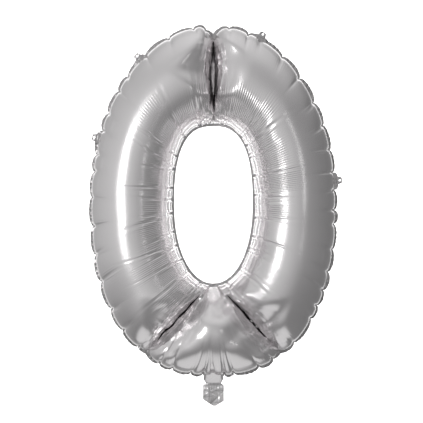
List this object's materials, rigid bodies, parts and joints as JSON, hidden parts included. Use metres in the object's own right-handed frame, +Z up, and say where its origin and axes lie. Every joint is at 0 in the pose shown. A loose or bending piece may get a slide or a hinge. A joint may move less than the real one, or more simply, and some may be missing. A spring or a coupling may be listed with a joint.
{
  "type": "foil number balloon",
  "caption": "Inflated foil balloon shaped as the digit zero, with a self-sealing valve neck, a flat tail and punched hang tabs.",
  "frame": {"origin": "the middle of the neck where the ribbon is tied, on the digit's plane of symmetry and in its seam plane", "axes": "+Z up along the upright digit, -Y towards the viewer who reads it, +X to that viewer's right"},
  "size_m": [0.5308, 0.172, 0.802],
  "materials": {
    "foil": "bright metallised film, smooth where it is tight, finely pleated beside the seams",
    "seam_foil": "two films heat-sealed together, crimped and slightly dull",
    "tail_foil": "bright metallised film, crumpled",
    "valve_film": "thin milky polyethylene film"
  },
  "bodies": {
    "root": {"front_left_foil": "foil", "front_right_foil": "foil", "front_base_foil": "foil", "rear_left_foil": "foil", "rear_right_foil": "foil", "rear_base_foil": "foil", "outer_seam": "seam_foil", "inner_seam": "seam_foil", "top_weld": "seam_foil", "lower_left_weld": "seam_foil", "lower_right_weld": "seam_foil", "neck_sleeve": "foil"},
    "valve_front": {"valve_front_film": "valve_film"},
    "valve_rear": {"valve_rear_film": "valve_film"},
    "tail": {"tail_front_foil": "tail_foil", "tail_rear_foil": "tail_foil"},
    "tail_end_front": {"tail_end_front_foil": "tail_foil"},
    "tail_end_rear": {"tail_end_rear_foil": "tail_foil"},
    "tab_upper_left": {"hang_tab_upper_left": "seam_foil"},
    "tab_upper_right": {"hang_tab_upper_right": "seam_foil"},
    "tab_left": {"hang_tab_left": "seam_foil"},
    "tab_right": {"hang_tab_right": "seam_foil"}
  },
  "joints": [
    {"name": "valve_front_open", "type": "hinge", "parent": "root", "child": "valve_front", "pos_m": [0, 0, 0.002], "axis": [1, 0, 0], "range_deg": [0, 6], "stiffness_Nm_per_rad": 0.0001},
    {"name": "valve_rear_open", "type": "hinge", "parent": "root", "child": "valve_rear", "pos_m": [0, 0, 0.002], "axis": [-1, 0, 0], "range_deg": [0, 6]},
    {"name": "tail_swing", "type": "hinge", "parent": "root", "child": "tail", "pos_m": [0, 0, 0], "axis": [1, 0, 0], "range_deg": [-80, 80]},
    {"name": "tail_fold", "type": "hinge", "parent": "tail", "child": "tail_end_front", "pos_m": [0, 0, -0.024], "axis": [1, 0, 0], "range_deg": [-85, 85]},
    {"name": "mouth_open", "type": "hinge", "parent": "tail_end_front", "child": "tail_end_rear", "pos_m": [0, 0, -0.024], "axis": [1, 0, 0], "range_deg": [0, 15]},
    {"name": "tab_upper_left_bend", "type": "hinge", "parent": "root", "child": "tab_upper_left", "pos_m": [-0.15701, 0, 0.68275], "axis": [-0.6851, 0, -0.7284], "range_deg": [-85, 85], "stiffness_Nm_per_rad": 0.0002},
    {"name": "tab_upper_right_bend", "type": "hinge", "parent": "root", "child": "tab_upper_right", "pos_m": [0.10143, 0, 0.72796], "axis": [-0.8588, 0, 0.5124], "range_deg": [-85, 85], "stiffness_Nm_per_rad": 0.0002},
    {"name": "tab_left_bend", "type": "hinge", "parent": "root", "child": "tab_left", "pos_m": [-0.24575, 0, 0.51449], "axis": [-0.2548, 0, -0.967], "range_deg": [-85, 85], "stiffness_Nm_per_rad": 0.0002},
    {"name": "tab_right_bend", "type": "hinge", "parent": "root", "child": "tab_right", "pos_m": [0.26082, 0, 0.4253], "axis": [-0.0796, 0, 0.9968], "range_deg": [-85, 85], "stiffness_Nm_per_rad": 0.0002}
  ],
  "couplings": [
    {"joint": "valve_rear_open", "follows": "valve_front_open", "ratio": 1}
  ]
}
